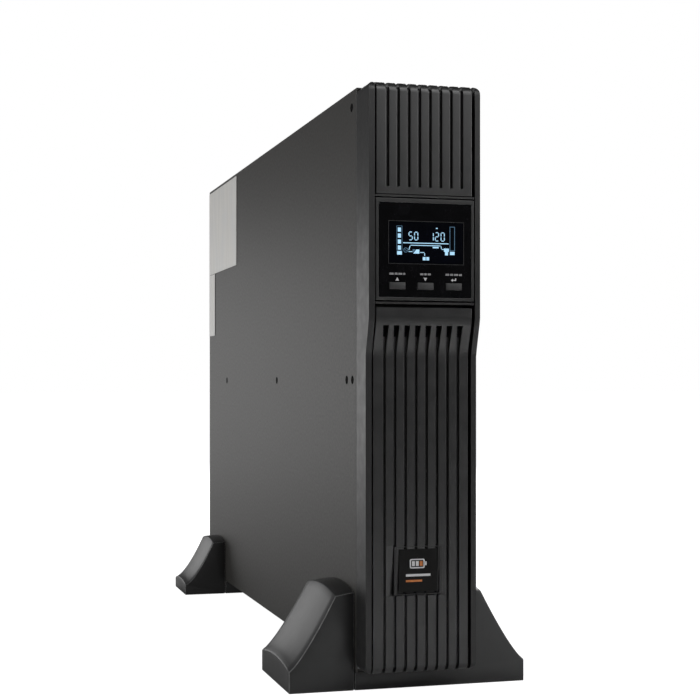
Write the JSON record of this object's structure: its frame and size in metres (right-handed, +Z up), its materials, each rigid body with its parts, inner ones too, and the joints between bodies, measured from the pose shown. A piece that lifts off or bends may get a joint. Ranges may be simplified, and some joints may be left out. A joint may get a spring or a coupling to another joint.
{
  "type": "uninterruptible power supply",
  "caption": "Slim rack or tower uninterruptible power supply standing upright in two cradle stands, with a grooved black front, a small display with keys and a removable battery.",
  "frame": {"origin": "on the floor, under the middle of the unit's bounding box", "axes": "+Z up, +Y towards the rear panel so the grooved front faces -Y, +X to the right seen from the front"},
  "size_m": [0.1872, 0.6601, 0.452],
  "materials": {
    "bezel_plastic": "fine moulded texture, satin black",
    "cover_paint": "fine-textured powder coat, warm charcoal",
    "zinc_steel": "zinc-coated sheet",
    "display_glass": "gloss black cover window",
    "lcd": "dark liquid-crystal display with pale blue figures",
    "button_plastic": "satin dark grey keycap",
    "badge_plate": "satin black plate",
    "blank_label": "blank brushed silver film",
    "stand_plastic": "fine moulded texture, satin black",
    "battery_case": "satin black case",
    "strap_webbing": "woven black webbing",
    "circuit_board": "green solder mask",
    "heat_sink": "extruded aluminium",
    "transformer_core": "varnished steel laminations",
    "copper_winding": "enamelled copper winding",
    "capacitor_sleeve": "blue-black shrink sleeve",
    "relay_case": "moulded black case",
    "socket_plastic": "moulded black",
    "plated_pin": "nickel-plated brass",
    "fan_plastic": "moulded black",
    "terminal_green": "moulded green"
  },
  "bodies": {
    "root": {"battery_cage": "zinc_steel", "bezel_rail_left": "bezel_plastic", "bezel_rail_right": "bezel_plastic", "bezel_web": "bezel_plastic", "breaker_collar": "socket_plastic", "bus_capacitor_1": "capacitor_sleeve", "bus_capacitor_2": "capacitor_sleeve", "card_slot_cover": "cover_paint", "chassis_tray": "cover_paint", "control_board": "circuit_board", "crossbar_lower": "bezel_plastic", "crossbar_upper": "bezel_plastic", "fan_frame": "fan_plastic", "fan_guard": "zinc_steel", "front_bulkhead": "zinc_steel", "front_stand_left": "stand_plastic", "front_stand_right": "stand_plastic", "ground_screw": "plated_pin", "heat_sink_front": "heat_sink", "heat_sink_rear": "heat_sink", "inlet_blade_earth": "plated_pin", "inlet_blade_line": "plated_pin", "inlet_blade_neutral": "plated_pin", "inlet_shell": "socket_plastic", "large_label": "blank_label", "network_ports": "socket_plastic", "outlet_1": "socket_plastic", "outlet_2": "socket_plastic", "outlet_3": "socket_plastic", "outlet_4": "socket_plastic", "outlet_5": "socket_plastic", "outlet_6": "socket_plastic", "power_board": "circuit_board", "rear_panel": "cover_paint", "rear_stand_left": "stand_plastic", "rear_stand_right": "stand_plastic", "remote_off_terminal": "terminal_green", "serial_port": "zinc_steel", "side_cover": "cover_paint", "small_label": "blank_label", "transfer_relay": "relay_case", "transformer_clamp": "zinc_steel", "transformer_coil": "copper_winding", "transformer_core": "transformer_core", "upper_panel": "bezel_plastic", "usb_port": "zinc_steel"},
    "display": {"display_housing": "bezel_plastic", "display_glass": "display_glass", "lcd_panel": "lcd", "display_board": "circuit_board"},
    "up_key": {"button_up": "button_plastic"},
    "down_key": {"button_down": "button_plastic"},
    "enter_key": {"button_enter": "button_plastic"},
    "pack": {"battery_pack": "battery_case", "battery_strap": "strap_webbing", "battery_connector": "socket_plastic"},
    "door": {"battery_door": "bezel_plastic", "badge_plate": "badge_plate"},
    "rotor": {"fan_rotor": "fan_plastic"},
    "breaker_key": {"breaker_button": "button_plastic"}
  },
  "joints": [
    {"name": "display_slide", "type": "slide", "parent": "root", "child": "display", "axis": [0, -1, 0], "range_m": [0, 0.022]},
    {"name": "button_up_press", "type": "slide", "parent": "display", "child": "up_key", "axis": [0, 1, 0], "range_m": [0, 0.0009], "stiffness_N_per_m": 800},
    {"name": "button_down_press", "type": "slide", "parent": "display", "child": "down_key", "axis": [0, 1, 0], "range_m": [0, 0.0009], "stiffness_N_per_m": 800},
    {"name": "button_enter_press", "type": "slide", "parent": "display", "child": "enter_key", "axis": [0, 1, 0], "range_m": [0, 0.0009], "stiffness_N_per_m": 800},
    {"name": "battery_slide", "type": "slide", "parent": "root", "child": "pack", "axis": [0, -1, 0], "range_m": [0, 0.3]},
    {"name": "battery_door_slide", "type": "slide", "parent": "pack", "child": "door", "axis": [0, -1, 0], "range_m": [0, 0.08]},
    {"name": "fan_spin", "type": "hinge", "parent": "root", "child": "rotor", "pos_m": [0, 0.3019, 0.4], "axis": [0, 1, 0], "continuous": true},
    {"name": "breaker_press", "type": "slide", "parent": "root", "child": "breaker_key", "axis": [0, -1, 0], "range_m": [0, 0.002], "stiffness_N_per_m": 800}
  ]
}
